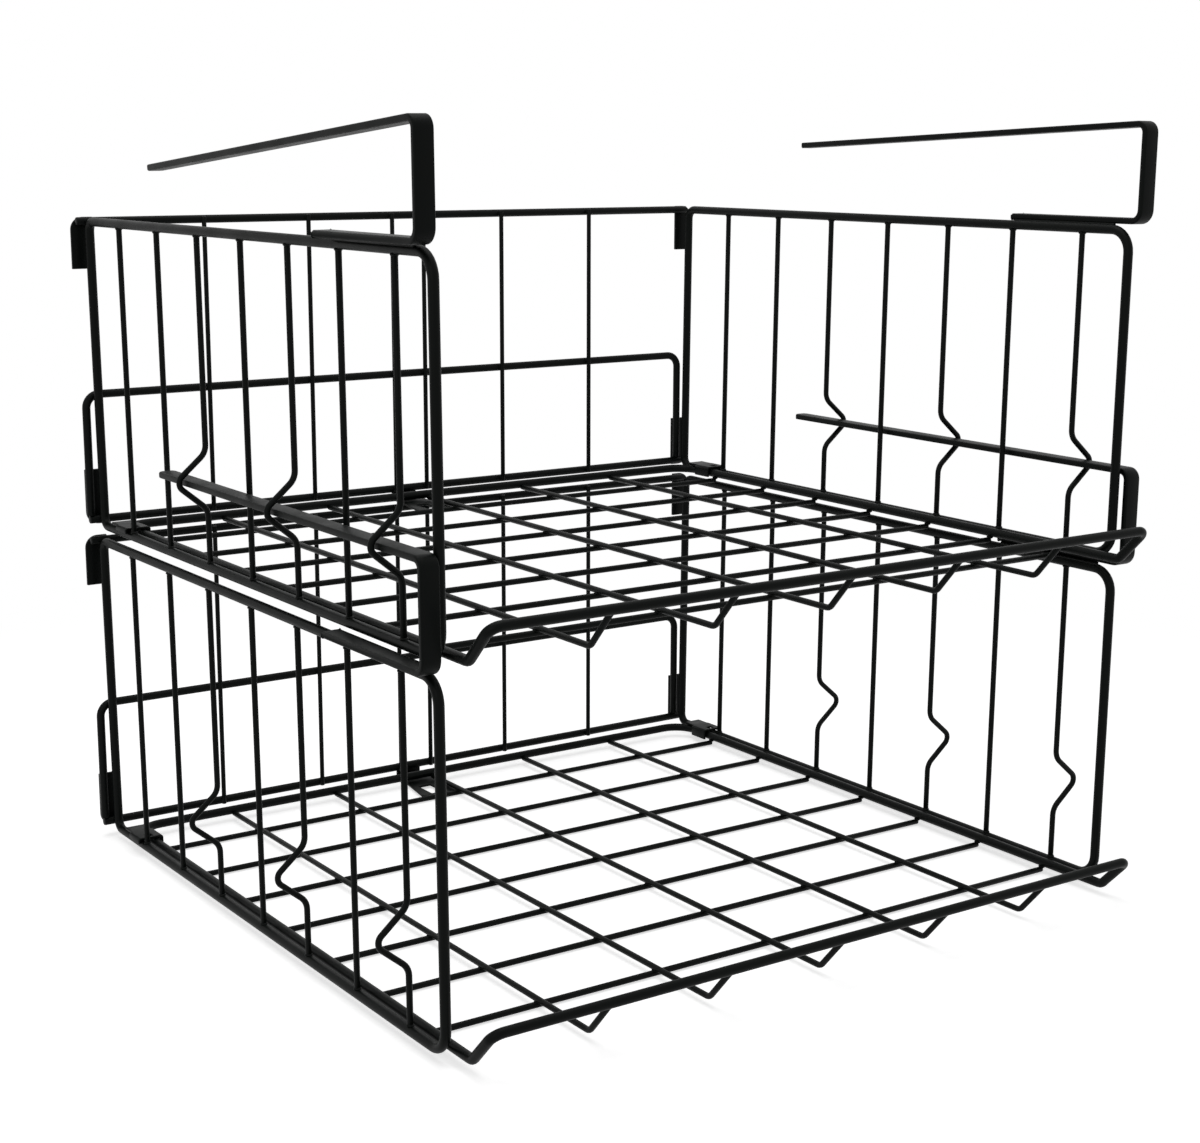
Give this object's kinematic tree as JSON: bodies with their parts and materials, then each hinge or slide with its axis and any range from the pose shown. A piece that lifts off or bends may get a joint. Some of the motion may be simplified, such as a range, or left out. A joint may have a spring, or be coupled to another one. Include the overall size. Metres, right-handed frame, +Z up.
{
  "type": "under-shelf basket",
  "caption": "Pair of black wire under-shelf baskets; the lower one hangs by its arms from notches in the upper one's side wires and slides out to the front.",
  "frame": {"origin": "on the ground, below the centre of the pair's bounding box", "axes": "+Z up, +X to the right as seen from the front, +Y from the open front to the back"},
  "size_m": [0.3464, 0.3271, 0.3203],
  "materials": {
    "frame_wire": "black satin powder coating on 3.9 mm wire",
    "thin_wire": "black satin powder coating on 2.4 mm wire",
    "flat_bar": "black satin powder coating on flat bar",
    "sheet": "black satin powder coating on sheet"
  },
  "bodies": {
    "upper_basket": {"upper_floor_rim": "frame_wire", "upper_floor_grid": "thin_wire", "upper_back_top_rail": "frame_wire", "upper_back_bottom_rail": "frame_wire", "upper_back_grid": "thin_wire", "upper_centre_clip": "sheet", "upper_left_frame": "frame_wire", "upper_left_wire_1": "thin_wire", "upper_left_wire_2": "thin_wire", "upper_left_wire_3": "thin_wire", "upper_left_wire_4": "thin_wire", "upper_left_wire_5": "thin_wire", "upper_left_wire_6": "thin_wire", "upper_left_wire_7": "thin_wire", "upper_left_arm": "flat_bar", "upper_left_top_plate": "sheet", "upper_left_bottom_plate": "sheet", "upper_left_side_clip": "sheet", "upper_right_frame": "frame_wire", "upper_right_wire_1": "thin_wire", "upper_right_wire_2": "thin_wire", "upper_right_wire_3": "thin_wire", "upper_right_wire_4": "thin_wire", "upper_right_wire_5": "thin_wire", "upper_right_wire_6": "thin_wire", "upper_right_wire_7": "thin_wire", "upper_right_arm": "flat_bar", "upper_right_top_plate": "sheet", "upper_right_bottom_plate": "sheet", "upper_right_side_clip": "sheet"},
    "lower_basket": {"lower_floor_rim": "frame_wire", "lower_floor_grid": "thin_wire", "lower_back_top_rail": "frame_wire", "lower_back_bottom_rail": "frame_wire", "lower_back_grid": "thin_wire", "lower_centre_clip": "sheet", "lower_left_frame": "frame_wire", "lower_left_wire_1": "thin_wire", "lower_left_wire_2": "thin_wire", "lower_left_wire_3": "thin_wire", "lower_left_wire_4": "thin_wire", "lower_left_wire_5": "thin_wire", "lower_left_wire_6": "thin_wire", "lower_left_wire_7": "thin_wire", "lower_left_arm": "flat_bar", "lower_left_top_plate": "sheet", "lower_left_bottom_plate": "sheet", "lower_left_side_clip": "sheet", "lower_right_frame": "frame_wire", "lower_right_wire_1": "thin_wire", "lower_right_wire_2": "thin_wire", "lower_right_wire_3": "thin_wire", "lower_right_wire_4": "thin_wire", "lower_right_wire_5": "thin_wire", "lower_right_wire_6": "thin_wire", "lower_right_wire_7": "thin_wire", "lower_right_arm": "flat_bar", "lower_right_top_plate": "sheet", "lower_right_bottom_plate": "sheet", "lower_right_side_clip": "sheet"}
  },
  "joints": [
    {"name": "lower_basket_slide", "type": "slide", "parent": "upper_basket", "child": "lower_basket", "axis": [0, -1, 0], "range_m": [0, 0.1]}
  ]
}
